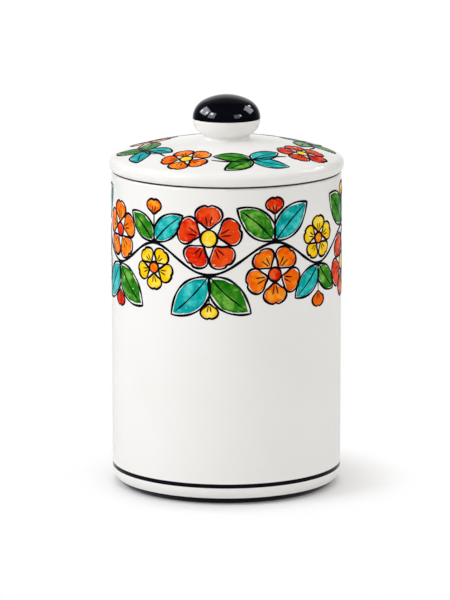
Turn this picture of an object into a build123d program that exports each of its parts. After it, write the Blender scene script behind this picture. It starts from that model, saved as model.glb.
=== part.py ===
from build123d import *
import math
import os

# A lidded crock for keeping fruit in liquor: a straight-sided glazed pot on a foot ring, a domed lid
# with a flattened ball knob, and a soft ring on the lid's collar that closes the mouth.
# Lengths are in millimetres. The origin is the centre of the foot at table level, with +Z up.
# Every piece is round, so each outline is drawn as (radius, height) and turned about Z.

# Pot
POT_RADIUS = 75.0
POT_HEIGHT = 206.5
POT_WALL = 6.0
POT_FLOOR = 7.0
HEEL_HEIGHT = 11.3
HEEL_INSET = 6.8
FOOT_RING_WIDTH = 7.5
FOOT_RECESS = 3.0
FOOT_RECESS_ROUND = 1.5
INSIDE_CORNER_ROUND = 10.0
RIM_OUTER_ROUND = 1.5
RIM_INNER_ROUND = 2.0

# Black glaze, let into the white where the brush laid it
GLAZE_DEPTH = 0.4
UPPER_LINE_WIDTH = 2.7
FOOT_LINE_START = 0.2
FOOT_LINE_WIDTH = 4.1

# Lid
LID_OVERHANG = 1.5
SEAT_GAP = 0.3
SEAT_RELIEF = 0.6
SEAT_RELIEF_WIDTH = 3.0
EDGE_HEIGHT = 5.0
EDGE_LOWER_ROUND = 7.0
EDGE_UPPER_ROUND = 4.8
DOME_HEIGHT = 21.2
LID_WALL = 5.0
LID_CORNER_ROUND = 4.0

# Collar under the lid, and the groove in it
COLLAR_FOOT = 2.7
COLLAR_WALL = 4.5
COLLAR_CLEARANCE = 3.0
COLLAR_EDGE_ROUND = 1.2
GROOVE_DEPTH = 1.2
GROOVE_DROP = 3.2

# Knob
KNOB_RADIUS = 22.1
KNOB_UPPER_ROUND = 13.3
KNOB_LOWER_ROUND = 12.0
KNOB_CROWN_RISE = 2.2
NECK_INSET = 7.3
NECK_ROUND = 1.3
KNOB_BORE_RADIUS = 8.0
KNOB_CROWN_WALL = 9.0
KNOB_BORE_EDGE_ROUND = 1.5

# Soft ring in the groove
RING_HEIGHT = 6.5
RING_BACK = 1.7
RING_FIT = 0.3
LIP_CLEARANCE = 0.3
LIP_COUNT = 3
LIP_ROOT = 1.0
LIP_TIP = 0.5
LIP_RISE = 0.8

# How near an edge has to lie to the place it is looked for
TOUCH = 0.01

# Places that follow from the sizes above
MOUTH_RADIUS = POT_RADIUS - POT_WALL
FLOOR_TOP = FOOT_RECESS + POT_FLOOR
HEEL_ROUND = (HEEL_INSET**2 + HEEL_HEIGHT**2) / (2 * HEEL_INSET)
HEEL_CENTRE = (POT_RADIUS - HEEL_ROUND, HEEL_HEIGHT)
UPPER_LINE_TOP = HEEL_HEIGHT + UPPER_LINE_WIDTH
FOOT_LINE_TOP = FOOT_LINE_START + FOOT_LINE_WIDTH
SEAT = POT_HEIGHT + SEAT_GAP
LID_RADIUS = POT_RADIUS + LID_OVERHANG
RELIEF_HEIGHT = SEAT + SEAT_RELIEF
RELIEF_RADIUS = POT_RADIUS - SEAT_RELIEF_WIDTH
EDGE_LEVEL = SEAT + EDGE_HEIGHT
EDGE_LOWER = (LID_RADIUS - EDGE_LOWER_ROUND, EDGE_LEVEL)
EDGE_UPPER = (LID_RADIUS - EDGE_UPPER_ROUND, EDGE_LEVEL)
DOME_TOP = SEAT + DOME_HEIGHT
COLLAR_RADIUS = MOUTH_RADIUS - COLLAR_CLEARANCE
COLLAR_INNER_RADIUS = COLLAR_RADIUS - COLLAR_WALL
GROOVE_RADIUS = COLLAR_RADIUS - GROOVE_DEPTH
GROOVE_TOP = SEAT - GROOVE_DROP
GROOVE_BOTTOM = GROOVE_TOP - RING_HEIGHT - 2 * RING_FIT
COLLAR_BOTTOM = GROOVE_BOTTOM - COLLAR_FOOT
NECK_RADIUS = KNOB_RADIUS - NECK_INSET


def bearing(start, end):
    """The direction from one point to another, in degrees from outward towards up."""
    return math.degrees(math.atan2(end[1] - start[1], end[0] - start[0]))


def point_on(centre, radius, angle):
    """The point of a circle that lies in a direction from its centre."""
    turn = math.radians(angle)
    return (centre[0] + radius * math.cos(turn), centre[1] + radius * math.sin(turn))


def arc(centre, radius, start, end):
    """The arc of a circle between two directions from its centre."""
    return CenterArc(centre, radius, start, end - start)


def height_over(centre, distance, radius):
    """The height at which a point of a given radius lies above a centre, a given distance from it."""
    return centre[1] + math.sqrt(distance**2 - (radius - centre[0]) ** 2)


def circle_under(top, inner_centre, inner_radius):
    """The circle on the axis with a given top that holds another circle and touches it inside."""
    drop = top - inner_centre[1]
    radius = (inner_centre[0] ** 2 + drop**2 - inner_radius**2) / (2 * (drop - inner_radius))
    return (0, top - radius), radius


def turned(edges):
    """The solid that a closed outline makes in one turn about Z."""
    return revolve(Plane.XZ * make_face(edges), axis=Axis.Z)


def round_edges(shape, radius, places):
    """Round the circular edges of a turned solid that lie at the given places."""
    found = [
        edge
        for edge in shape.edges().filter_by(GeomType.CIRCLE)
        for place in places
        if math.dist((edge.radius, edge.arc_center.Z), place) < TOUCH
    ]
    return fillet(found, radius)


# The dome's circle holds the rolled edge. The neck is a hollow round that stands on the dome and
# carries the knob's lower side, so the knob's level, where it is widest and the black glaze ends,
# follows from it. The crown's circle closes the knob over its upper side.
DOME_CENTRE, DOME_RADIUS = circle_under(DOME_TOP, EDGE_UPPER, EDGE_UPPER_ROUND)
NECK_X = NECK_RADIUS + NECK_ROUND
NECK_CENTRE = (NECK_X, height_over(DOME_CENTRE, DOME_RADIUS + NECK_ROUND, NECK_X))
LOWER_X = KNOB_RADIUS - KNOB_LOWER_ROUND
KNOB_LEVEL = height_over(NECK_CENTRE, KNOB_LOWER_ROUND + NECK_ROUND, LOWER_X)
KNOB_LOWER = (LOWER_X, KNOB_LEVEL)
KNOB_UPPER = (KNOB_RADIUS - KNOB_UPPER_ROUND, KNOB_LEVEL)
KNOB_TOP = KNOB_LEVEL + KNOB_UPPER_ROUND + KNOB_CROWN_RISE
CROWN_CENTRE, CROWN_RADIUS = circle_under(KNOB_TOP, KNOB_UPPER, KNOB_UPPER_ROUND)


def heel_angle(height):
    """The direction from the heel's centre to its curve at a height."""
    return -math.degrees(math.asin((HEEL_HEIGHT - height) / HEEL_ROUND))


def pot():
    """The pot: foot ring, heel, wall, rim and floor, with places for the two black lines."""
    bed_radius = HEEL_ROUND - GLAZE_DEPTH
    bed_start = -math.degrees(math.asin(HEEL_HEIGHT / bed_radius))
    bed_end = heel_angle(FOOT_LINE_TOP)
    foot_edge = point_on(HEEL_CENTRE, bed_radius, bed_start)
    ring_inner = foot_edge[0] - FOOT_RING_WIDTH
    line_bed = POT_RADIUS - GLAZE_DEPTH
    foot_bed = arc(HEEL_CENTRE, bed_radius, bed_start, bed_end)
    step = Line(point_on(HEEL_CENTRE, bed_radius, bed_end), point_on(HEEL_CENTRE, HEEL_ROUND, bed_end))
    heel = arc(HEEL_CENTRE, HEEL_ROUND, bed_end, 0)
    rest = Polyline(
        (POT_RADIUS, HEEL_HEIGHT),
        (line_bed, HEEL_HEIGHT),
        (line_bed, UPPER_LINE_TOP),
        (POT_RADIUS, UPPER_LINE_TOP),
        (POT_RADIUS, POT_HEIGHT),
        (MOUTH_RADIUS, POT_HEIGHT),
        (MOUTH_RADIUS, FLOOR_TOP),
        (0, FLOOR_TOP),
        (0, FOOT_RECESS),
        (ring_inner, FOOT_RECESS),
        (ring_inner, 0),
        foot_edge,
    )
    body = turned([foot_bed, step, heel, *rest.edges()])
    body = round_edges(body, min(INSIDE_CORNER_ROUND, MOUTH_RADIUS / 2), [(MOUTH_RADIUS, FLOOR_TOP)])
    body = round_edges(body, min(FOOT_RECESS_ROUND, FOOT_RECESS / 2), [(ring_inner, FOOT_RECESS)])
    body = round_edges(body, min(RIM_OUTER_ROUND, POT_WALL / 3), [(POT_RADIUS, POT_HEIGHT)])
    return round_edges(body, min(RIM_INNER_ROUND, POT_WALL / 3), [(MOUTH_RADIUS, POT_HEIGHT)])


def upper_line():
    """The black line where the heel runs into the wall."""
    inner = POT_RADIUS - GLAZE_DEPTH
    corners = [
        (inner, HEEL_HEIGHT),
        (POT_RADIUS, HEEL_HEIGHT),
        (POT_RADIUS, UPPER_LINE_TOP),
        (inner, UPPER_LINE_TOP),
    ]
    return turned(Polyline(*corners, close=True).edges())


def foot_line():
    """The black line on the curve of the heel, down to the table."""
    low = heel_angle(FOOT_LINE_START)
    high = heel_angle(FOOT_LINE_TOP)
    bed_radius = HEEL_ROUND - GLAZE_DEPTH
    outer = arc(HEEL_CENTRE, HEEL_ROUND, low, high)
    bed = arc(HEEL_CENTRE, bed_radius, low, high)
    lower_edge = Line(bed @ 0, outer @ 0)
    upper_edge = Line(outer @ 1, bed @ 1)
    return turned([outer, upper_edge, bed, lower_edge])


def lid_rim():
    """The lid's underside from the seat outwards, the rolled edge and the dome up to the neck."""
    lower = -math.degrees(math.asin((EDGE_LEVEL - RELIEF_HEIGHT) / EDGE_LOWER_ROUND))
    upper = bearing(DOME_CENTRE, EDGE_UPPER)
    roll_start = point_on(EDGE_LOWER, EDGE_LOWER_ROUND, lower)
    return [
        *Polyline(
            (COLLAR_RADIUS, SEAT),
            (RELIEF_RADIUS, SEAT),
            (RELIEF_RADIUS, RELIEF_HEIGHT),
            roll_start,
        ).edges(),
        arc(EDGE_LOWER, EDGE_LOWER_ROUND, lower, 0),
        arc(EDGE_UPPER, EDGE_UPPER_ROUND, 0, upper),
        arc(DOME_CENTRE, DOME_RADIUS, upper, bearing(DOME_CENTRE, NECK_CENTRE)),
    ]


def knob_outline():
    """The neck, the lower half of the knob, and the upper half sunk by the depth of the glaze."""
    leave_dome = bearing(NECK_CENTRE, DOME_CENTRE) % 360
    meet_knob = bearing(NECK_CENTRE, KNOB_LOWER) % 360
    crown = bearing(CROWN_CENTRE, KNOB_UPPER)
    return [
        arc(NECK_CENTRE, NECK_ROUND, leave_dome, meet_knob),
        arc(KNOB_LOWER, KNOB_LOWER_ROUND, meet_knob - 180, 0),
        Line((KNOB_RADIUS, KNOB_LEVEL), (KNOB_RADIUS - GLAZE_DEPTH, KNOB_LEVEL)),
        arc(KNOB_UPPER, KNOB_UPPER_ROUND - GLAZE_DEPTH, 0, crown),
        arc(CROWN_CENTRE, CROWN_RADIUS - GLAZE_DEPTH, crown, 90),
    ]


def lid_inside():
    """The bore in the knob, the hollow under the dome, and the collar with its groove."""
    hollow = DOME_RADIUS - LID_WALL
    bore_end = KNOB_TOP - KNOB_CROWN_WALL
    bore_centre = (0, bore_end - KNOB_BORE_RADIUS)
    bore_angle = math.degrees(math.acos(KNOB_BORE_RADIUS / hollow))
    wall_angle = math.degrees(math.acos(COLLAR_INNER_RADIUS / hollow))
    bore_mouth = point_on(DOME_CENTRE, hollow, bore_angle)
    hollow_edge = point_on(DOME_CENTRE, hollow, wall_angle)
    edges = [
        Line((0, KNOB_TOP - GLAZE_DEPTH), (0, bore_end)),
        arc(bore_centre, KNOB_BORE_RADIUS, 90, 0),
        Line((KNOB_BORE_RADIUS, bore_centre[1]), bore_mouth),
        arc(DOME_CENTRE, hollow, bore_angle, wall_angle),
        *Polyline(
            hollow_edge,
            (COLLAR_INNER_RADIUS, COLLAR_BOTTOM),
            (COLLAR_RADIUS, COLLAR_BOTTOM),
            (COLLAR_RADIUS, GROOVE_BOTTOM),
            (GROOVE_RADIUS, GROOVE_BOTTOM),
            (GROOVE_RADIUS, GROOVE_TOP),
            (COLLAR_RADIUS, GROOVE_TOP),
            (COLLAR_RADIUS, SEAT),
        ).edges(),
    ]
    return edges, hollow_edge, bore_mouth


def lid():
    """The lid: dome, rolled edge, collar and knob, all one piece of fired clay."""
    inside, hollow_edge, bore_mouth = lid_inside()
    body = turned([*lid_rim(), *knob_outline(), *inside])
    body = round_edges(body, LID_CORNER_ROUND, [hollow_edge])
    body = round_edges(body, KNOB_BORE_EDGE_ROUND, [bore_mouth])
    lip = [(COLLAR_INNER_RADIUS, COLLAR_BOTTOM), (COLLAR_RADIUS, COLLAR_BOTTOM)]
    return round_edges(body, min(COLLAR_EDGE_ROUND, COLLAR_WALL / 3, COLLAR_FOOT / 2), lip)


def knob_crown():
    """The black glaze over the upper half of the knob."""
    crown = bearing(CROWN_CENTRE, KNOB_UPPER)
    outline = [
        arc(KNOB_UPPER, KNOB_UPPER_ROUND, 0, crown),
        arc(CROWN_CENTRE, CROWN_RADIUS, crown, 90),
        Line((0, KNOB_TOP), (0, KNOB_TOP - GLAZE_DEPTH)),
        arc(CROWN_CENTRE, CROWN_RADIUS - GLAZE_DEPTH, 90, crown),
        arc(KNOB_UPPER, KNOB_UPPER_ROUND - GLAZE_DEPTH, crown, 0),
        Line((KNOB_RADIUS - GLAZE_DEPTH, KNOB_LEVEL), (KNOB_RADIUS, KNOB_LEVEL)),
    ]
    return turned(outline)


def sealing_ring():
    """The soft ring: a flat back in the groove and thin lips that rise towards the mouth's wall."""
    inner = GROOVE_RADIUS + RING_FIT
    back = inner + RING_BACK
    tip = MOUTH_RADIUS - LIP_CLEARANCE
    top = GROOVE_TOP - RING_FIT
    bottom = top - RING_HEIGHT
    pitch = RING_HEIGHT / LIP_COUNT
    corners = [(back, bottom), (inner, bottom), (inner, top), (back, top)]
    for number in range(LIP_COUNT):
        middle = top - (number + 0.5) * pitch
        raised = middle + LIP_RISE
        corners.append((back, middle + LIP_ROOT / 2))
        corners.append((tip, raised + LIP_TIP / 2))
        corners.append((tip, raised - LIP_TIP / 2))
        corners.append((back, middle - LIP_ROOT / 2))
    return turned(Polyline(*corners, close=True).edges())


PIECES = {
    "pot": pot,
    "upper_line": upper_line,
    "foot_line": foot_line,
    "lid": lid,
    "knob_crown": knob_crown,
    "sealing_ring": sealing_ring,
}

os.makedirs("parts", exist_ok=True)
for name, build_piece in PIECES.items():
    export_step(build_piece(), f"parts/{name}.step")
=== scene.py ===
# %% [markdown]
# # A painted crock for fruit in liquor
# On the real object a potter throws or casts two pieces of clay, the pot and the lid, dips them in
# white glaze, bands them with black on a turning wheel and paints them with a loaded brush. The packed
# model already holds every solid at its real size, so no clay is modelled here: its nodes are loaded
# first.

import math
import random

import bpy
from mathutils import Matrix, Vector


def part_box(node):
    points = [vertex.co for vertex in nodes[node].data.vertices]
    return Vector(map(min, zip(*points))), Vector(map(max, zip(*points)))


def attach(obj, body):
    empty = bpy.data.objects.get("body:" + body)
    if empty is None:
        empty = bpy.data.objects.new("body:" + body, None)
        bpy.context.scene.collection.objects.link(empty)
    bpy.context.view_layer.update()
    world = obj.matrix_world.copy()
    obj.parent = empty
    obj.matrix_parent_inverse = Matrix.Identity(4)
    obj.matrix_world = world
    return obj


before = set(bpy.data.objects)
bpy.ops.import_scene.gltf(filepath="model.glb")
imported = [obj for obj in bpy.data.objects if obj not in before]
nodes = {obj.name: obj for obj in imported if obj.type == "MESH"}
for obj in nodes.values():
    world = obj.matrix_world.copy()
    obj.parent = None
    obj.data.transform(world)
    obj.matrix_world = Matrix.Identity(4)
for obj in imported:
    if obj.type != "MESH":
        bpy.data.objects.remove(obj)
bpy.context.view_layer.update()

# %% [markdown]
# ## Units, colours and nodes
# Lengths are metres, as everywhere in Blender, so a size in millimetres is written as a number times
# MM. The scale of a noise texture is how many of its blotches fit in a metre, so a real blotch size is
# turned into a scale by one function. Colours are written as sRGB hex values, and nodes want them
# linear. One more function adds a node with its settings and its links, which keeps a material short
# enough to read as a recipe.

# %% Units, colours and nodes
MM = 0.001


def per(size):
    """The scale at which a noise texture has about one blotch in a length."""
    return 1 / size


def linear(hex_colour):
    """An sRGB hex colour as the linear colour that a node takes."""
    channels = [int(hex_colour[start:start + 2], 16) / 255 for start in (1, 3, 5)]
    return [c / 12.92 if c <= 0.04045 else ((c + 0.055) / 1.055) ** 2.4 for c in channels] + [1]


def add(tree, kind, settings=None, links=None):
    """A new node. settings holds its properties, input values and ramp stops, links its sources."""
    made = tree.nodes.new("ShaderNode" + kind)
    for key, value in (settings or {}).items():
        if key == "stops":
            while len(made.color_ramp.elements) < len(value):
                made.color_ramp.elements.new(1)
            for element, (position, colour) in zip(made.color_ramp.elements, value):
                element.position, element.color = position, linear(colour)
        elif isinstance(key, str) and hasattr(made, key):
            setattr(made, key, value)
        else:
            made.inputs[key].default_value = value
    for key, source in (links or {}).items():
        tree.links.new(source, made.inputs[key])
    return made


def finish(name, **constants):
    """A new material with its node tree and shader, and the shader's constant sockets set."""
    material = bpy.data.materials.new(name)
    material.use_nodes = True
    shader = material.node_tree.nodes["Principled BSDF"]
    for socket, value in constants.items():
        shader.inputs[socket.replace("_", " ")].default_value = value
    return material, material.node_tree, shader


def dress(piece, material):
    """Gives a piece one finish, in every material slot that it has."""
    if not piece.data.materials:
        piece.data.materials.append(material)
    for slot in piece.material_slots:
        slot.material = material


print("sRGB #808080 is linear", round(linear("#808080")[0], 3))

# %% [markdown]
# ## White glaze
# The white is glass made opaque by fine white grains, fired onto the clay. It is very smooth, but
# never a machined surface, and three things tell the eye so: a slow waviness with about 35 mm from
# crest to crest, a faint orange peel of about 3 mm where the melt stopped flowing, and a warmer tone
# where the glaze ran thin over an edge. One pale colour with low roughness would look like plastic.
# The shine is set low, because the fine grains break up part of what a clear glass would mirror.
# Where a piece touches another or the kiln's shelf, the glaze is wiped off and clay shows: under
# the foot ring, on the rim and on the lid's seat, and the step beside the seat gets the same colour.
# Each is found by its height, which works because these faces are level. That colour is partly the
# clay and partly painted shade: it is a dark brown so that the seam under the lid looks dark.

# %% White glaze
GLASS_IOR = 1.5
GLAZE_ROUGHNESS = 0.1
GLAZE_SHINE = 0.3
CLAY_ROUGHNESS = 0.85
WAVE_SIZE, WAVE_RISE = 35 * MM, 0.05 * MM
PEEL_SIZE, PEEL_RISE = 3 * MM, 0.004 * MM
CLOUD_SIZE = 60 * MM
GRIT_SIZE = 0.8 * MM
BARE_REACH = 0.15 * MM
THIN_WARMTH = 0.15
RIM_ROUND = 1.5 * MM
SEAT_CLEARANCE = 0.3 * MM
STEP_RISE = 0.6 * MM


def fired_surface(tree, place):
    """The waviness and orange peel that every fired glaze here shares, as a normal."""
    wave = add(tree, "TexNoise", {"Scale": per(WAVE_SIZE), "Detail": 0}, {"Vector": place})
    peel = add(tree, "TexNoise", {"Scale": per(PEEL_SIZE), "Detail": 1}, {"Vector": place})
    slow = add(tree, "Bump", {"Distance": WAVE_RISE}, {"Height": wave.outputs["Fac"]})
    fine = add(tree, "Bump", {"Distance": PEEL_RISE},
               {"Height": peel.outputs["Fac"], "Normal": slow.outputs["Normal"]})
    return fine.outputs["Normal"]


def white_glaze(name, bare_and_shade_levels, thin_start, thin_end, outward):
    """White glaze, thin over an edge that is found by height or by the distance from the axis."""
    material, tree, shader = finish(name, IOR=GLASS_IOR, Specular_IOR_Level=GLAZE_SHINE)
    place = add(tree, "TexCoord").outputs["Object"]
    height = add(tree, "SeparateXYZ", links={"Vector": place}).outputs["Z"]
    level = add(tree, "VectorMath", {"operation": "MULTIPLY", 1: (1, 1, 0)}, {0: place})
    radius = add(tree, "VectorMath", {"operation": "LENGTH"}, {0: level.outputs["Vector"]})
    edge = radius.outputs["Value"] if outward else height
    clouds = add(tree, "TexNoise", {"Scale": per(CLOUD_SIZE), "Detail": 2}, {"Vector": place})
    tone = add(tree, "ValToRGB", {"stops": [(0.35, "#F2F1EE"), (0.65, "#F4F3F1")]},
               {"Fac": clouds.outputs["Fac"]})
    thin = add(tree, "MapRange", {"From Min": thin_start, "From Max": thin_end, "To Max": THIN_WARMTH},
               {"Value": edge})
    warm = add(tree, "Mix", {"data_type": "RGBA", 7: linear("#EFE8DC")},
               {0: thin.outputs["Result"], 6: tone.outputs["Color"]})
    # The dark brown of these faces is partly clay and partly painted shade that darkens the seam under the
    # lid.
    low, high = [add(tree, "Math", {"operation": "COMPARE", 1: bare_and_shade_level, 2: BARE_REACH}, {0: height})
                 for bare_and_shade_level in bare_and_shade_levels]
    bare_and_seam_shade = add(tree, "Math", {"operation": "MAXIMUM"}, {0: low.outputs[0], 1: high.outputs[0]})
    grit = add(tree, "TexNoise", {"Scale": per(GRIT_SIZE), "Detail": 3}, {"Vector": place})
    clay_and_seam_shade = add(tree, "ValToRGB", {"stops": [(0.3, "#4E3B2E"), (0.7, "#66503F")]},
               {"Fac": grit.outputs["Fac"]})
    colour = add(tree, "Mix", {"data_type": "RGBA"},
                 {0: bare_and_seam_shade.outputs[0], 6: warm.outputs[2], 7: clay_and_seam_shade.outputs["Color"]})
    gloss = add(tree, "Mix", {"data_type": "FLOAT", 2: GLAZE_ROUGHNESS, 3: CLAY_ROUGHNESS},
                {0: bare_and_seam_shade.outputs[0]})
    tree.links.new(colour.outputs[2], shader.inputs["Base Color"])
    tree.links.new(gloss.outputs[0], shader.inputs["Roughness"])
    tree.links.new(fired_surface(tree, place), shader.inputs["Normal"])
    return material


_, pot_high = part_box("pot")
_, lid_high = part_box("lid")
POT_RADIUS, RIM_LEVEL = pot_high.x, pot_high.z
SEAT_LEVEL = RIM_LEVEL + SEAT_CLEARANCE
STEP_LEVEL = SEAT_LEVEL + STEP_RISE
pot_glaze = white_glaze("white_tin_glaze_pot", (0, RIM_LEVEL), RIM_LEVEL - RIM_ROUND, RIM_LEVEL, False)
lid_glaze = white_glaze(
    "white_tin_glaze_lid", (SEAT_LEVEL, STEP_LEVEL), lid_high.x - RIM_ROUND, lid_high.x, True)
dress(nodes["pot"], pot_glaze)
dress(nodes["lid"], lid_glaze)
print("pot radius", round(POT_RADIUS, 5), "rim", round(RIM_LEVEL, 5), "lid radius", round(lid_high.x, 5))

# %% [markdown]
# ## Black glaze
# The knob and the two lines are iron and cobalt black, laid on with a broad brush while the piece
# turned on a wheel. It fires to a blue-black glass, even glossier than the white. The brush leaves
# faint bands round the axis, a fraction of a millimetre wide, where the colour is thicker or thinner.
# One coat of it makes a line, and the line sinks in and shines less than the knob, which has two.
# A texture could be painted round the axis, but a noise that is squeezed in height and read by radius
# gives the same bands from any side.

# %% Black glaze
BLACK_IOR = 1.52
KNOB_SHINE, LINE_SHINE = 0.5, 0.05
BAND_SIZE = 0.9 * MM


def black_glaze(name, shine):
    """Blue-black glaze with the faint bands of a brush held against a turning piece."""
    material, tree, shader = finish(name, IOR=BLACK_IOR, Specular_IOR_Level=shine)
    place = add(tree, "TexCoord").outputs["Object"]
    height = add(tree, "SeparateXYZ", links={"Vector": place}).outputs["Z"]
    level = add(tree, "VectorMath", {"operation": "MULTIPLY", 1: (1, 1, 0)}, {0: place})
    radius = add(tree, "VectorMath", {"operation": "LENGTH"}, {0: level.outputs["Vector"]})
    band = add(tree, "CombineXYZ", links={"X": radius.outputs["Value"], "Y": height})
    brush = add(tree, "TexNoise", {"Scale": per(BAND_SIZE), "Detail": 2},
                {"Vector": band.outputs["Vector"]})
    colour = add(tree, "ValToRGB", {"stops": [(0.35, "#050509"), (0.75, "#0C0D18")]},
                 {"Fac": brush.outputs["Fac"]})
    gloss = add(tree, "MapRange", {"To Min": 0.04, "To Max": 0.09}, {"Value": brush.outputs["Fac"]})
    tree.links.new(colour.outputs["Color"], shader.inputs["Base Color"])
    tree.links.new(gloss.outputs["Result"], shader.inputs["Roughness"])
    tree.links.new(fired_surface(tree, place), shader.inputs["Normal"])
    return material


dress(nodes["knob_crown"], black_glaze("iron_cobalt_black_glaze", KNOB_SHINE))
line_black = black_glaze("iron_cobalt_black_line", LINE_SHINE)
for name in ("upper_line", "foot_line"):
    dress(nodes[name], line_black)
print("black glaze on the knob and both lines")

# %% [markdown]
# ## Soft ring
# The ring in the lid's groove is moulded milky silicone rubber. Light goes a little way into it, so
# its edges look soft, and its surface is satin, because the mould was blasted. A low subsurface share
# gives the depth, and a fine noise the blasted finish.

# %% Soft ring
SILICONE_IOR = 1.41
MILK_SHARE, MILK_DEPTH = 0.3, 1.5 * MM
BLAST_SIZE, BLAST_RISE = 0.4 * MM, 0.01 * MM

silicone, tree, shader = finish(
    "moulded_silicone", IOR=SILICONE_IOR, Subsurface_Weight=MILK_SHARE, Subsurface_Scale=MILK_DEPTH)
place = add(tree, "TexCoord").outputs["Object"]
blasted = add(tree, "TexNoise", {"Scale": per(BLAST_SIZE), "Detail": 2}, {"Vector": place})
milk = add(tree, "ValToRGB", {"stops": [(0.3, "#DAD9D4"), (0.7, "#E6E5E0")]},
           {"Fac": blasted.outputs["Fac"]})
satin = add(tree, "MapRange", {"To Min": 0.35, "To Max": 0.5}, {"Value": blasted.outputs["Fac"]})
dimples = add(tree, "Bump", {"Distance": BLAST_RISE}, {"Height": blasted.outputs["Fac"]})
tree.links.new(milk.outputs["Color"], shader.inputs["Base Color"])
tree.links.new(satin.outputs["Result"], shader.inputs["Roughness"])
tree.links.new(dimples.outputs["Normal"], shader.inputs["Normal"])
dress(nodes["sealing_ring"], silicone)
print("silicone on the soft ring")

# %% [markdown]
# ## Brush colours
# Painter's colours on glaze are metal oxides in water: copper for teal and green, iron for red and
# orange, antimony for yellow. The brush leaves them watery, so one touch runs from pale to full to
# deep in blotches of 6 to 9 mm, is darkest where it pooled at its edge, shows the streaks of the
# hairs along the stroke, and lets specks of white through. Each touch carries two things in its mesh:
# a map of its own plan, a disc of radius 1, for the streaks and the pool, and a number, wash, that
# shifts the blotches so that no two touches match. Fired, a colour is as smooth as the glaze but
# mirrors less of the room, so it stays deep where the wall turns away.

# %% Brush colours
PAINT_SHINE = 0.01
BLOTCH_SIZE = 7 * MM
SPECK_SIZE = 2.2 * MM
HAIR_ROWS = 22


def watercolour(name, pale, full, deep, stain):
    """A watery brush colour that runs from pale to full to deep, with stains of its neighbour."""
    material, tree, shader = finish(
        name, IOR=GLASS_IOR, Roughness=GLAZE_ROUGHNESS, Specular_IOR_Level=PAINT_SHINE)
    place = add(tree, "TexCoord").outputs["Object"]
    wash = add(tree, "Attribute", {"attribute_name": "wash"}).outputs["Fac"]
    plan = add(tree, "UVMap", {"uv_map": "plan"}).outputs["UV"]
    blotch = add(tree, "TexNoise", {"noise_dimensions": "4D", "Scale": per(BLOTCH_SIZE), "Detail": 3,
                                    "Roughness": 0.62, "Distortion": 0.5}, {"Vector": place, "W": wash})
    wide = add(tree, "TexNoise", {"noise_dimensions": "4D", "Scale": per(2 * BLOTCH_SIZE), "Detail": 1},
               {"Vector": place, "W": wash})
    rows = add(tree, "VectorMath", {"operation": "MULTIPLY", 1: (1.2, HAIR_ROWS, 1)}, {0: plan})
    hair = add(tree, "TexNoise", {"noise_dimensions": "4D", "Scale": 1, "Detail": 2},
               {"Vector": rows.outputs["Vector"], "W": wash})
    reach = add(tree, "VectorMath", {"operation": "LENGTH"}, {0: plan}).outputs["Value"]
    pool = add(tree, "MapRange", {"From Min": 0.82, "From Max": 1, "To Max": 0.16}, {"Value": reach})
    streak = add(tree, "MapRange", {"To Min": -0.07, "To Max": 0.07}, {"Value": hair.outputs["Fac"]})
    depth = add(tree, "Math", {"operation": "ADD"}, {0: blotch.outputs["Fac"], 1: pool.outputs["Result"]})
    depth = add(tree, "Math", {"operation": "ADD"}, {0: depth.outputs[0], 1: streak.outputs["Result"]})
    colour = add(tree, "ValToRGB", {"stops": [(0.37, pale), (0.51, full), (0.66, deep)]},
                 {"Fac": depth.outputs[0]})
    stained = add(tree, "MapRange", {"From Min": 0.5, "From Max": 0.62, "To Max": 0.75},
                  {"Value": wide.outputs["Fac"]})
    mixed = add(tree, "Mix", {"data_type": "RGBA", 7: linear(stain)},
                {0: stained.outputs["Result"], 6: colour.outputs["Color"]})
    gaps = add(tree, "TexNoise", {"noise_dimensions": "4D", "Scale": per(SPECK_SIZE), "Detail": 1},
               {"Vector": place, "W": wash})
    white = add(tree, "MapRange", {"From Min": 0.73, "From Max": 0.78}, {"Value": gaps.outputs["Fac"]})
    seen = add(tree, "Mix", {"data_type": "RGBA", 7: linear("#F1EFEB")},
               {0: white.outputs["Result"], 6: mixed.outputs[2]})
    tree.links.new(seen.outputs[2], shader.inputs["Base Color"])
    tree.links.new(fired_surface(tree, place), shader.inputs["Normal"])
    return material


COLOURS = {
    "teal": watercolour("copper_teal", "#5AD2D0", "#18B4B4", "#068A8C", "#0AA2A4"),
    "green": watercolour("copper_green", "#78B848", "#388A1E", "#0E6606", "#1C7810"),
    "red": watercolour("iron_red", "#F2642E", "#E22C0C", "#C80E02", "#EE4A12"),
    "orange": watercolour("iron_orange", "#FFA632", "#FD7E0E", "#EE5006", "#F66608"),
    "yellow": watercolour("antimony_yellow", "#FFE86A", "#FFD614", "#FCBE02", "#FFC808"),
}
print("brush colours", ", ".join(COLOURS))

# %% [markdown]
# ## Outline black
# The outlines are drawn last, with a thin brush and the same black as the bands, but wetter. Where
# the brush was pressed the line is dense, and where it hurried it is a little blue and pale.

# %% Outline black
OUTLINE_ROUGHNESS = 0.2
LOAD_SIZE = 5 * MM

outline_black, tree, shader = finish(
    "brushed_outline_black", IOR=GLASS_IOR, Roughness=OUTLINE_ROUGHNESS, Specular_IOR_Level=PAINT_SHINE)
place = add(tree, "TexCoord").outputs["Object"]
load = add(tree, "TexNoise", {"Scale": per(LOAD_SIZE), "Detail": 3}, {"Vector": place})
liquid = add(tree, "ValToRGB", {"stops": [(0.3, "#05070C"), (0.62, "#0A1019"), (0.78, "#1D2834")]},
             {"Fac": load.outputs["Fac"]})
tree.links.new(liquid.outputs["Color"], shader.inputs["Base Color"])
tree.links.new(fired_surface(tree, place), shader.inputs["Normal"])
print("outline black ready")

# %% [markdown]
# ## Working on one piece at a time
# An operator acts on all that is selected, and loading the model leaves its nodes selected. So every
# step first selects only what it works on. What repeats is modelled once as a template and stamped:
# the copy has a mesh of its own, is turned, sized and moved, and keeps its place in its mesh.

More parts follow.
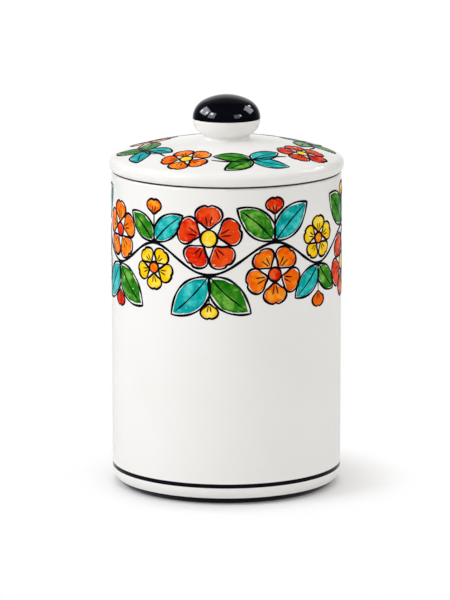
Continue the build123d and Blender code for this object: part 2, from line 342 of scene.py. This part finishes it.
# %% Working on one piece at a time
def pick(*pieces):
    """Selects only these objects, the first of them active."""
    bpy.ops.object.select_all(action="DESELECT")
    for piece in pieces:
        piece.select_set(True)
    bpy.context.view_layer.objects.active = pieces[0]


def settle(piece):
    """Puts the object's place, turn and size into its mesh or curve."""
    pick(piece)
    bpy.ops.object.transform_apply(location=True, rotation=True, scale=True)


def apply_modifier(piece, kind, **settings):
    """Adds a modifier with its settings and applies it."""
    pick(piece)
    modifier = piece.modifiers.new(kind, kind)
    for key, value in settings.items():
        setattr(modifier, key, value)
    bpy.ops.object.modifier_apply(modifier=modifier.name)


def stamp(template, place, turn, size):
    """A copy of a template, sized, turned about Z and moved."""
    pick(template)
    bpy.ops.object.duplicate()
    copy = bpy.context.object
    copy.location = (place[0], place[1], 0)
    copy.rotation_euler.z = turn
    copy.scale = (size, size, size)
    settle(copy)
    return copy


def joined(name, pieces):
    """One object of several, with a name of its own."""
    pick(*pieces)
    bpy.ops.object.join()
    whole = bpy.context.object
    whole.name = whole.data.name = name
    return whole


def convert(piece, kind):
    """Turns a curve into a mesh, or the loose edges of a mesh into a curve."""
    pick(piece)
    bpy.ops.object.convert(target=kind)
    return bpy.context.object


print("stamping helpers ready")

# %% [markdown]
# ## A touch of colour
# Every touch of the brush is a small flat patch with a curved outline. A patch could be drawn point
# by point, but it starts here as a disc, which is inset several times and closed with a fan, so it
# has rings of small faces that can bend round the pot. While it is still a disc its plan is kept as a
# UV map. Then it is squeezed, and pulled at a few places of its rim with soft selection: each pull
# says where, by how much and how far around it is felt. A bend gives a leaf its sweep. Leaf and petal
# run from the origin along X and are 1 long. A heart stays a disc.

# %% A touch of colour
CORNERS = 56
RING_WIDTHS = (0.16, 0.2, 0.2, 0.2)
LEAF_SWEEP = math.radians(20)
LEAF_SQUEEZE = 0.66
LEAF_PULLS = [((1, 0), (0.32, 0), 0.75), ((-1, 0), (-0.16, 0), 0.6)]
PETAL_SPREAD = 1.38
PETAL_PULLS = [
    ((-1, 0.25), (0, -0.22), 0.8),
    ((-1, -0.25), (0, 0.22), 0.8),
    ((-1, 0), (-0.35, 0), 0.9),
    ((1, 0), (-0.16, 0), 0.35),
]


def disc():
    """A flat disc of radius 1 with rings of faces and its plan as a UV map."""
    bpy.ops.object.select_all(action="DESELECT")
    bpy.ops.mesh.primitive_circle_add(vertices=CORNERS, radius=1, fill_type="NGON", calc_uvs=False)
    patch = bpy.context.object
    bpy.ops.object.mode_set(mode="EDIT")
    for width in RING_WIDTHS:
        bpy.ops.mesh.inset(thickness=width, depth=0)
    bpy.ops.mesh.poke()
    bpy.ops.object.mode_set(mode="OBJECT")
    plan = patch.data.uv_layers.new(name="plan")
    for loop in patch.data.loops:
        plan.data[loop.index].uv = patch.data.vertices[loop.vertex_index].co.xy
    wash = patch.data.attributes.new("wash", "FLOAT", "POINT")
    wash.data.foreach_set("value", [0.0] * len(patch.data.vertices))
    return patch


def pull(patch, start, move, reach, falloff):
    """Moves the point of a patch that lies nearest to a place, and what is near it less and less."""
    nearest = min(patch.data.vertices, key=lambda vertex: (vertex.co.xy - Vector(start)).length).index
    pick(patch)
    bpy.ops.object.mode_set(mode="EDIT")
    bpy.ops.mesh.select_all(action="DESELECT")
    bpy.ops.object.mode_set(mode="OBJECT")
    patch.data.vertices[nearest].select = True
    bpy.ops.object.mode_set(mode="EDIT")
    bpy.ops.mesh.select_mode(type="VERT")
    bpy.ops.transform.translate(value=(*move, 0), use_proportional_edit=True,
                                proportional_edit_falloff=falloff, proportional_size=reach)
    bpy.ops.object.mode_set(mode="OBJECT")


def start_at_origin(patch):
    """Moves and sizes a patch so that it runs from the origin along X and is 1 long."""
    along = [vertex.co.x for vertex in patch.data.vertices]
    size = 1 / (max(along) - min(along))
    patch.location.x = -min(along) * size
    patch.scale = (size, size, 1)
    settle(patch)


def leaf(sweep):
    """A leaf with a pointed tip, bent to one side by an angle."""
    patch = disc()
    patch.scale.y = LEAF_SQUEEZE
    settle(patch)
    for start, move, reach in LEAF_PULLS:
        pull(patch, start, move, reach, "SHARP")
    start_at_origin(patch)
    apply_modifier(patch, "SIMPLE_DEFORM", deform_method="BEND", deform_axis="Z", angle=sweep)
    return patch


def petal():
    """A petal, narrow at its foot, with a shallow notch at its tip."""
    patch = disc()
    patch.scale.y = PETAL_SPREAD
    settle(patch)
    for start, move, reach in PETAL_PULLS:
        pull(patch, start, move, reach, "SMOOTH")
    start_at_origin(patch)
    return patch


leaves = {1: leaf(LEAF_SWEEP), -1: leaf(-LEAF_SWEEP)}
petal_patch = petal()
heart_patch = disc()
for patch in (*leaves.values(), petal_patch):
    size = patch.dimensions
    print("template", round(size.x, 3), "long,", round(size.y, 3), "wide")

# %% [markdown]
# ## The drawn lines of a touch
# Each touch is drawn round with a thin brush. That line could be a second shape beside the first, but
# then the two would drift apart, so it is traced from the patch: the edges on its rim, and for a leaf
# the edges along its middle, are picked by their place in the plan, copied off and turned into a
# curve. The colour itself is a slightly smaller patch, because a painter stays inside the line and
# leaves a sliver of white.

# %% The drawn lines of a touch
FILL_SHARE = 0.88
RIM_REACH = 0.99
MIDDLE_WIDTH = 0.01
MIDRIB_END = 0.85
CREASE_POINTS = 5
CREASE_FOOT, CREASE_STEP = 0.14, 0.1
CREASE_GAP, CREASE_SPREAD = 0.05, 0.022


def trace(patch, on_line):
    """The edges of a patch whose ends pass a test on their place in the plan, as a curve."""
    layer = patch.data.uv_layers["plan"].data
    plan = {loop.vertex_index: layer[loop.index].uv.copy() for loop in patch.data.loops}
    pick(patch)
    bpy.ops.object.mode_set(mode="EDIT")
    bpy.ops.mesh.select_mode(type="EDGE")
    bpy.ops.mesh.select_all(action="DESELECT")
    bpy.ops.object.mode_set(mode="OBJECT")
    for edge in patch.data.edges:
        edge.select = all(on_line(plan[end]) for end in edge.vertices)
    bpy.ops.object.mode_set(mode="EDIT")
    bpy.ops.mesh.duplicate()
    bpy.ops.mesh.separate(type="SELECTED")
    bpy.ops.object.mode_set(mode="OBJECT")
    line = next(piece for piece in bpy.context.selected_objects if piece != patch)
    return convert(line, "CURVE")


def outline(patch):
    """The closed line round a patch."""
    return trace(patch, lambda at: at.length > RIM_REACH)


def midrib(patch):
    """The open line along the middle of a leaf, which stops short of its tip."""
    return trace(patch, lambda at: abs(at.y) < MIDDLE_WIDTH and at.x < MIDRIB_END)


def smaller(patch):
    """The coloured part of a touch: the patch drawn in towards its middle."""
    copy = stamp(patch, (0, 0), 0, FILL_SHARE)
    low, high = patch.bound_box[0], patch.bound_box[6]
    margin = (1 - FILL_SHARE) / 2
    copy.location = (margin * (low[0] + high[0]), margin * (low[1] + high[1]), 0)
    settle(copy)
    return copy


def stroke(points):
    """A free brush stroke: a smooth curve led by a list of places."""
    bpy.ops.object.select_all(action="DESELECT")
    bpy.ops.curve.primitive_nurbs_path_add()
    line = bpy.context.object
    spline = line.data.splines[0]
    spline.points.add(len(points) - len(spline.points))
    for point, place in zip(spline.points, points):
        point.co = (*place, 0, 1)
    spline.use_endpoint_u = True
    return line


def crease(side):
    """A short line on a petal, from its foot towards its tip."""
    return stroke([(CREASE_FOOT + CREASE_STEP * number, side * (CREASE_GAP + CREASE_SPREAD * number))
                   for number in range(CREASE_POINTS)])


motifs = {
    "leaf_left": (smaller(leaves[1]), joined("leaf_line", [outline(leaves[1]), midrib(leaves[1])])),
    "leaf_right": (smaller(leaves[-1]), joined("leaf_line", [outline(leaves[-1]), midrib(leaves[-1])])),
    "petal": (smaller(petal_patch), joined("petal_line", [outline(petal_patch), crease(1), crease(-1)])),
    "heart": (smaller(heart_patch), outline(heart_patch)),
}
for name, (fill, line) in motifs.items():
    print(name, len(fill.data.polygons), "faces,", len(line.data.splines), "lines")

# %% [markdown]
# ## Painting a motif
# A motif is stamped twice at the same place: its colour goes to the heap of its colour, and its lines
# go to the heap of lines. All touches of one colour become one piece in the end, as they are one
# firing of one colour, and each carries its own wash number. A blossom is five petals round a heart.

# %% Painting a motif
PETALS = 5
HEART_SHARE = 0.25
FOOT_SHARE = 0.29
WAVER = 0.05
WASH_SPAN = 60
SEED = 11

hand = random.Random(SEED)
touches = {colour: [] for colour in COLOURS}
lines = []


def paint(motif, colour, place, turn, size):
    """One touch of a colour and the lines round it."""
    fill, line = motifs[motif]
    turn += hand.uniform(-WAVER, WAVER)
    size *= 1 + hand.uniform(-WAVER, WAVER)
    touch = stamp(fill, place, turn, size)
    wash = touch.data.attributes["wash"]
    wash.data.foreach_set("value", [hand.uniform(0, WASH_SPAN)] * len(touch.data.vertices))
    touches[colour].append(touch)
    lines.append(stamp(line, place, turn, size))


def towards(place, turn, distance):
    """The place that lies in a direction and at a distance from another."""
    return (place[0] + distance * math.cos(turn), place[1] + distance * math.sin(turn))


def blossom(colour, heart, place, radius, turn):
    """Five petals round a heart of another colour."""
    for number in range(PETALS):
        way = turn + math.tau * number / PETALS
        foot = towards(place, way, FOOT_SHARE * radius)
        paint("petal", colour, foot, way, (1 - FOOT_SHARE) * radius)
    paint("heart", heart, place, turn, HEART_SHARE * radius)


print("petals per blossom", PETALS)

# %% [markdown]
# ## The garland, laid out flat
# The band round the pot is a garland in the old folk manner: a vine that swings up and down, a
# blossom inside each swing, and on its back a pair of leaves with a bud between them. It is laid out
# flat, as if the pot's wall were unrolled, with the way round the pot along X and height along Y. Three
# swings of falling width make a unit, and four units close the round exactly, because each width is
# a share of a quarter of it. A unit has an odd number of swings, so the next one is its mirror image.

# %% The garland, laid out flat
BAND_LEVEL = 161.5 * MM
UNITS = 4
SWING_SHARE = 0.24
VINE_GAP = 2.2 * MM
LEAF_LEAN = math.radians(53)
LEAF_FOOT = 1.2 * MM
BUD_STEM, BUD_LENGTH = 18.5 * MM, 10 * MM
STEM_STEPS = 4
FIRST_SWING = -152 * MM
STEPS = 8
SWINGS = [
    ("red", "yellow", 0.39, 21.6 * MM, 36 * MM),
    ("orange", "red", 0.34, 18.8 * MM, 34 * MM),
    ("yellow", "orange", 0.27, 14 * MM, 27 * MM),
]


def leaf_pair(place, side, length, colours):
    """Two leaves that spread from a place on the vine, up for side 1 and down for side -1."""
    for way, colour in zip((1, -1), colours):
        turn = side * (LEAF_LEAN if way > 0 else math.pi - LEAF_LEAN)
        motif = "leaf_right" if side * way > 0 else "leaf_left"
        paint(motif, colour, towards(place, turn, LEAF_FOOT), turn, length)


def bud(place, side, colour):
    """A closed bud on a straight stem between the two leaves of a pair."""
    turn = side * math.pi / 2
    foot = towards(place, turn, BUD_STEM)
    lines.append(stroke([towards(place, turn, BUD_STEM * step / STEM_STEPS)
                         for step in range(STEM_STEPS + 1)]))
    paint("petal", colour, foot, turn, BUD_LENGTH)


vine = []
start, side = FIRST_SWING, 1
for colour, heart, share, radius, leaf_length in SWINGS * UNITS:
    width = share * math.tau * POT_RADIUS / UNITS
    rise = side * SWING_SHARE * width
    vine += [(start + width * step / STEPS, BAND_LEVEL + rise * math.sin(math.pi * step / STEPS))
             for step in range(STEPS)]
    crest = (start + width / 2, BAND_LEVEL + rise)
    blossom(colour, heart, (crest[0], crest[1] - side * (VINE_GAP + radius)), radius, -side * math.pi / 2)
    leaf_pair(crest, side, leaf_length, ("teal", "green") if side > 0 else ("green", "teal"))
    bud(crest, side, heart)
    start, side = start + width, -side
vine.append((start, BAND_LEVEL))
vine_line = stroke(vine)
print(len(lines), "line groups,", {colour: len(heap) for colour, heap in touches.items()})

# %% [markdown]
# ## Ink and colour get their body
# A brush line has body: it stands two to four tenths of a millimetre proud and is thickest where
# the hand pressed. The curves get a round bevel whose radius follows the pressure, become meshes and
# are pressed flat. The colours wander a little off their drawn shape, by a displacement from a cloud
# texture, and a solidify modifier makes them thin closed shells, partly sunk in the glaze.

# %% Ink and colour get their body
OUTLINE_WIDTH = 1.4 * MM
VINE_WIDTH = 2.1 * MM
LINE_FLATNESS = 0.3
LINE_LIFT = 0.06 * MM
PRESS_LENGTH = 18 * MM
LEAST_SWELL, MOST_SWELL = 0.15, 0.28
INNER_SHARE, TIP_SHARE, TAPER = 0.8, 0.6, 5
FILL_DEPTH = 0.16 * MM
FILL_SINK = 0.06 * MM
SMOOTH_ANGLE = math.radians(40)
WANDER_SIZE, WANDER_WIDTH = 5 * MM, 1.7 * MM
DRIFT_SIZE, DRIFT_WIDTH = 16 * MM, 0.8 * MM

wander = bpy.data.textures.new("wander", "CLOUDS")
wander.noise_scale = WANDER_SIZE
drift = bpy.data.textures.new("drift", "CLOUDS")
drift.noise_scale = DRIFT_SIZE


def shake(piece, texture, amount):
    """Lets a flat piece wander sideways by up to half an amount."""
    for direction in "XY":
        apply_modifier(piece, "DISPLACE", texture=texture, direction=direction, strength=amount,
                       mid_level=0.5, texture_coords="LOCAL")


def length_of(spline):
    """The length of a spline along its points."""
    places = [point.co.xyz for point in spline.points]
    return sum((after - before).length for before, after in zip(places, places[1:]))


def ink(name, curves, width):
    """Brush lines from curves: thick and thin by pressure, thinner inside a shape and at loose ends."""
    line = joined(name, curves)
    line.data.bevel_depth = width / 2
    line.data.bevel_resolution = 1
    line.data.use_fill_caps = True
    for spline in line.data.splines:
        count, length = len(spline.points), length_of(spline)
        phase, swell = hand.uniform(0, math.tau), hand.uniform(LEAST_SWELL, MOST_SWELL)
        presses = max(1, round(length / PRESS_LENGTH))
        for number, point in enumerate(spline.points):
            along = number / (count if spline.use_cyclic_u else count - 1)
            point.radius = 1 + swell * math.sin(math.tau * presses * along + phase)
            if not spline.use_cyclic_u:
                from_end = min(along, 1 - along) * length / PRESS_LENGTH
                point.radius *= INNER_SHARE * min(1, TIP_SHARE + TAPER * from_end)
    line = convert(line, "MESH")
    shake(line, drift, DRIFT_WIDTH)
    line.scale.z = LINE_FLATNESS
    line.location.z = LINE_LIFT
    settle(line)
    bpy.ops.object.shade_smooth()
    return line


def colour_shell(name, heap):
    """All touches of one colour as thin closed shells."""
    shell = joined(name, heap)
    shake(shell, wander, WANDER_WIDTH)
    apply_modifier(shell, "SOLIDIFY", thickness=FILL_DEPTH, offset=1 - 2 * FILL_SINK / FILL_DEPTH)
    bpy.ops.object.shade_smooth_by_angle(angle=SMOOTH_ANGLE)
    return shell


def wrap(piece):
    """Stands a flat piece up and bends it round the pot's wall."""
    piece.rotation_euler.x = math.radians(90)
    settle(piece)
    places = [vertex.co.x for vertex in piece.data.vertices]
    apply_modifier(piece, "SIMPLE_DEFORM", deform_method="BEND", deform_axis="Z",
                   angle=(max(places) - min(places)) / POT_RADIUS)
    piece.location.y = -POT_RADIUS
    settle(piece)
    return piece


def hand_over(piece, body, material):
    """Gives a finished piece its material and its body."""
    dress(piece, material)
    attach(piece, body)
    print(piece.name, len(piece.data.polygons), "faces on", body)


hand_over(wrap(ink("garland_vine", [vine_line], VINE_WIDTH)), "pot", outline_black)
hand_over(wrap(ink("garland_outlines", lines, OUTLINE_WIDTH)), "pot", outline_black)
for colour, heap in touches.items():
    hand_over(wrap(colour_shell("garland_" + colour, heap)), "pot", COLOURS[colour])

# %% [markdown]
# ## The wreath on the lid
# The lid carries a smaller wreath of the same motifs, laid out flat as seen from above. The vine
# between two blossoms swings once out and once in, and four leaves spread from its middle. Bending
# it onto the dome would take two modifiers that don't agree, so here each point is lifted by the
# dome's own formula: the dome is part of a ball that holds the lid's rolled edge and passes through
# its top.

# %% The wreath on the lid
WREATH_RADIUS = 55 * MM
WREATH_BLOSSOM = 16 * MM
WREATH_LEAF = 24 * MM
WREATH_SWING = 2.5 * MM
WREATH_STEPS = 12
WREATH_LEAN = math.radians(38)
WREATH_START = math.radians(-118)
WREATH_COLOURS = [("orange", "yellow"), ("red", "yellow"), ("yellow", "red"), ("orange", "red")]
DOME_RISE, EDGE_RISE, EDGE_ROUND = 21.2 * MM, 5 * MM, 4.8 * MM

edge_x = lid_high.x - EDGE_ROUND
drop = DOME_RISE - EDGE_RISE
dome_radius = (edge_x ** 2 + drop ** 2 - EDGE_ROUND ** 2) / (2 * (drop - EDGE_ROUND))
dome_centre = SEAT_LEVEL + DOME_RISE - dome_radius


def lift(piece):
    """Lays a flat piece on the lid's dome, point by point."""
    for vertex in piece.data.vertices:
        reach = vertex.co.xy.length
        vertex.co.z += dome_centre + math.sqrt(dome_radius ** 2 - reach ** 2)
    return piece


def polar(radius, turn):
    """The place at a distance from the axis, in a direction."""
    return (radius * math.cos(turn), radius * math.sin(turn))


touches = {colour: [] for colour in COLOURS}
lines = []
vines = []
step = math.tau / len(WREATH_COLOURS)
half = math.asin((WREATH_BLOSSOM + VINE_GAP / 2) / WREATH_RADIUS)
for number, (colour, heart) in enumerate(WREATH_COLOURS):
    turn = WREATH_START + number * step
    blossom(colour, heart, polar(WREATH_RADIUS, turn), WREATH_BLOSSOM, turn)
    path = []
    for point in range(WREATH_STEPS + 1):
        share = point / WREATH_STEPS
        swing = WREATH_RADIUS + WREATH_SWING * math.sin(math.tau * share)
        path.append(polar(swing, turn + half + share * (step - 2 * half)))
    vines.append(stroke(path))
    middle = turn + step / 2
    for forward in (1, -1):
        for outside in (1, -1):
            lean = middle + forward * (math.pi / 2 - outside * WREATH_LEAN)
            motif = "leaf_left" if forward * outside > 0 else "leaf_right"
            leaf_colour = "teal" if forward > 0 else "green"
            paint(motif, leaf_colour, polar(WREATH_RADIUS, middle), lean, WREATH_LEAF)
hand_over(lift(ink("wreath_vine", vines, VINE_WIDTH)), "lid", outline_black)
hand_over(lift(ink("wreath_outlines", lines, OUTLINE_WIDTH)), "lid", outline_black)
for colour, heap in touches.items():
    hand_over(lift(colour_shell("wreath_" + colour, heap)), "lid", COLOURS[colour])

# %% [markdown]
# ## Clearing the bench
# The templates have done their work and are deleted, or they would ride on nothing.

# %% Clearing the bench
templates = [*leaves.values(), petal_patch, heart_patch]
for pair in motifs.values():
    templates += pair
pick(*templates)
bpy.ops.object.delete()
print("templates deleted", len(templates))

# %% [markdown]
# ## Floor
# The pot stands on a plain white table that runs out of sight. The floor is a disc, a hair below the
# foot, with a paper-like white finish. To the camera and to mirrors it adds a little light of its own,
# which makes the open floor meet the white background without more light on the pot, and the soft
# shadow beside the pot stays. Close to the foot it adds less, which is a painted contact shadow, set
# round a point in front of the pot so that it is widest in front; outward the floor fades into plain
# white, so its edge can't be seen.
# Mirrors get that white a little greyer, or both sides of the glossy wall would end in a bright line.

# %% Floor
FLOOR_RADIUS = 1100 * MM
FLOOR_CORNERS = 96
FIBRE_SIZE = 4 * MM
FLOOR_DROP = 0.05 * MM
PAINTED_SHADOW_LIFT, FLOOR_LIFT = 0.08, 0.18
PAINTED_SHADOW_CENTRE = (0, -20 * MM, 0)
PAINTED_SHADOW_START, PAINTED_SHADOW_END = 52 * MM, 82 * MM
FADE_START, FADE_END = 82 * MM, 128 * MM
MIRRORED_FLOOR = 0.75

bpy.ops.object.select_all(action="DESELECT")
bpy.ops.mesh.primitive_circle_add(vertices=FLOOR_CORNERS, radius=FLOOR_RADIUS, fill_type="NGON",
                                  location=(0, 0, -FLOOR_DROP))
floor = bpy.context.object
floor.name = "floor"
bpy.ops.object.mode_set(mode="EDIT")
bpy.ops.mesh.inset(thickness=FLOOR_RADIUS / 3, depth=0)
bpy.ops.object.mode_set(mode="OBJECT")
paper, tree, shader = finish("white_paper_floor", Roughness=0.9, Specular_IOR_Level=0.1)
place = add(tree, "TexCoord").outputs["Object"]
fibre = add(tree, "TexNoise", {"Scale": per(FIBRE_SIZE), "Detail": 4}, {"Vector": place})
sheet = add(tree, "ValToRGB", {"stops": [(0.3, "#E8E8E9"), (0.7, "#EBEBEC")]},
            {"Fac": fibre.outputs["Fac"]})
tree.links.new(sheet.outputs["Color"], shader.inputs["Base Color"])
ray = add(tree, "LightPath")
seen = add(tree, "Math", {"operation": "MAXIMUM"},
           {0: ray.outputs["Is Camera Ray"], 1: ray.outputs["Is Glossy Ray"]})
seen = add(tree, "Math", {"operation": "MAXIMUM"},
           {0: seen.outputs[0], 1: ray.outputs["Is Transmission Ray"]})
# Painted contact shadow: the floor's own light is lowered near a point in front of the foot.
forward = add(tree, "VectorMath", {"operation": "DISTANCE", 1: PAINTED_SHADOW_CENTRE}, {0: place})
lift_with_painted_shadow = add(tree, "MapRange",
          {"interpolation_type": "SMOOTHSTEP", "From Min": PAINTED_SHADOW_START, "From Max": PAINTED_SHADOW_END,
           "To Min": PAINTED_SHADOW_LIFT, "To Max": FLOOR_LIFT}, {"Value": forward.outputs["Value"]})
reach = add(tree, "VectorMath", {"operation": "LENGTH"}, {0: place})
far = add(tree, "MapRange",
          {"interpolation_type": "SMOOTHSTEP", "From Min": FADE_START, "From Max": FADE_END},
          {"Value": reach.outputs["Value"]})
raised = add(tree, "Math", {"operation": "MULTIPLY"}, {0: seen.outputs[0], 1: lift_with_painted_shadow.outputs["Result"]})
away = add(tree, "Math", {"operation": "MULTIPLY"}, {0: seen.outputs[0], 1: far.outputs["Result"]})
glow = add(tree, "Emission", links={"Strength": raised.outputs[0]})
near_floor = add(tree, "AddShader", links={0: shader.outputs[0], 1: glow.outputs[0]})
white = add(tree, "Mix", {"data_type": "FLOAT", 2: 1, 3: MIRRORED_FLOOR}, {0: ray.outputs["Is Glossy Ray"]})
far_floor = add(tree, "Emission", links={"Strength": white.outputs[0]})
blend = add(tree, "MixShader",
            links={0: away.outputs[0], 1: near_floor.outputs[0], 2: far_floor.outputs[0]})
tree.links.new(blend.outputs[0], tree.nodes["Material Output"].inputs["Surface"])
dress(floor, paper)
print("floor radius", FLOOR_RADIUS)

# %% [markdown]
# ## Studio light
# The picture was lit like a small product: a white surround, two soft boxes on each side, each with
# a bright tube or two in it, and a dark ceiling and room. The boxes can be read off the shiny knob,
# as each reflection gives the direction of its lamp. A box as bright as its reflection would burn out
# the white pot, so its two tasks are split: the boxes are only mirrored, and two plain lamps only give
# light. The left one is the stronger, so the pot turns from warm white on the left to a soft grey on
# the right. The surround is white to the camera. To mirrors it is a tall pool of light behind the pot,
# brightest a little below the horizon, strong for a third of the way up and nearly dark above, or the
# black knob would look grey. For plain light it is one even strength, a trace warm, while the lamps
# are a trace cool.

# %% Studio light
AMBIENT = 0.79
AMBIENT_TINT, SHEET_TINT = "#FFFDF9", "#F6F8FF"
BACKDROP_WAY = (0, 0.98, -0.2)
BACKDROP_SQUEEZE = (1.8, 1, 1)

world = bpy.data.worlds.new("white_studio")
bpy.context.scene.world = world
world.use_nodes = True
tree = world.node_tree
ray = add(tree, "LightPath")
narrowed = add(tree, "VectorMath", {"operation": "MULTIPLY", 1: BACKDROP_SQUEEZE},
               {0: add(tree, "TexCoord").outputs["Generated"]})
narrowed = add(tree, "VectorMath", {"operation": "NORMALIZE"}, {0: narrowed.outputs["Vector"]})
facing = add(tree, "VectorMath", {"operation": "DOT_PRODUCT", 1: BACKDROP_WAY},
             {0: narrowed.outputs["Vector"]})
mirrored = add(tree, "ValToRGB", {"stops": [(0.2, "#272727"), (0.57, "#666666"), (0.73, "#C6C6C6"),
                                            (0.87, "#D2D2D2"), (0.97, "#FFFFFF")]},
               {"Fac": facing.outputs["Value"]})
mirror = add(tree, "Math", {"operation": "MAXIMUM"},
             {0: ray.outputs["Is Glossy Ray"], 1: ray.outputs["Is Transmission Ray"]})
light = add(tree, "Mix", {"data_type": "FLOAT", 2: AMBIENT},
            {0: mirror.outputs[0], 3: mirrored.outputs["Color"]})
shown = add(tree, "Mix", {"data_type": "FLOAT", 3: 1},
            {0: ray.outputs["Is Camera Ray"], 2: light.outputs[0]})
tree.links.new(shown.outputs[0], tree.nodes["Background"].inputs["Strength"])
tint = add(tree, "Mix", {"data_type": "RGBA", 6: linear("#FFFFFF"), 7: linear(AMBIENT_TINT)},
           {0: ray.outputs["Is Diffuse Ray"]})
tree.links.new(tint.outputs[2], tree.nodes["Background"].inputs["Color"])

KNOB_LEVEL = 245 * MM
LAMP_DISTANCE = 1.2


def soft_box(name, towards_lamp, width, height, radiance, only_mirrored):
    """A rectangular lamp that faces the knob, and either is only mirrored or only lights."""
    way = Vector(towards_lamp).normalized()
    bpy.ops.object.light_add(type="AREA", location=Vector((0, 0, KNOB_LEVEL)) + LAMP_DISTANCE * way)
    lamp = bpy.context.object
    lamp.name = name
    lamp.rotation_euler = way.to_track_quat("Z", "Y").to_euler()
    lamp.data.shape = "RECTANGLE"
    lamp.data.size, lamp.data.size_y = width, height
    lamp.data.energy = radiance * math.pi * width * height
    lamp.data.color = linear(SHEET_TINT)[:3]
    lamp.visible_camera = False
    lamp.visible_diffuse, lamp.visible_glossy = not only_mirrored, only_mirrored
    print(name, "at", [round(value, 2) for value in lamp.location], round(lamp.data.energy, 2), "W")


soft_box("left_light", (-0.743, -0.346, 0.574), 0.6, 0.6, 5.5, False)
soft_box("right_light", (0.87, 0.25, 0.5), 0.8, 0.8, 0.7, False)
soft_box("left_box", (-0.83, 0.12, 0.545), 0.75, 0.6, 5, True)
soft_box("left_box_tube", (-0.849, -0.116, 0.516), 0.2, 0.24, 12, True)
soft_box("left_box_far_tube", (-0.83, 0.327, 0.451), 0.16, 0.2, 9, True)
soft_box("left_front_box", (-0.74, -0.5, 0.45), 0.5, 0.58, 3.5, True)
soft_box("left_front_tube", (-0.713, -0.431, 0.553), 0.22, 0.24, 14, True)
soft_box("right_box", (0.78, 0.25, 0.57), 0.6, 0.58, 4, True)
soft_box("right_box_tube", (0.595, 0.56, 0.577), 0.14, 0.14, 10, True)
soft_box("right_front_box", (0.56, -0.72, 0.41), 0.4, 0.38, 2, True)
soft_box("right_front_tube", (0.708, -0.546, 0.449), 0.12, 0.18, 12, True)

# %% [markdown]
# ## Camera
# The photograph was taken with a long lens from about 2.75 m, 11 degrees above the table, which keeps
# the walls nearly parallel and shows just a little of the lid's top. The lens is worked out from the
# photograph's height: how many of its pixels one radian takes, against a sensor of 36 mm.

# %% Camera
PHOTO_HEIGHT = 600
PIXELS_PER_RADIAN = 4197
SENSOR = 36
DISTANCE = 2.749
ELEVATION = 0.193
AIM_LEVEL = 120.15 * MM
SIDE_STEP = -0.99 * MM

bpy.ops.object.camera_add(
    location=(SIDE_STEP, -DISTANCE * math.cos(ELEVATION), AIM_LEVEL + DISTANCE * math.sin(ELEVATION)),
    rotation=(math.pi / 2 - ELEVATION, 0, 0),
)
camera = bpy.context.object
camera.data.sensor_width = SENSOR
camera.data.lens = PIXELS_PER_RADIAN * SENSOR / PHOTO_HEIGHT
bpy.context.scene.camera = camera
bpy.context.scene.view_settings.view_transform = "Standard"
print("lens", round(camera.data.lens, 1), "mm")
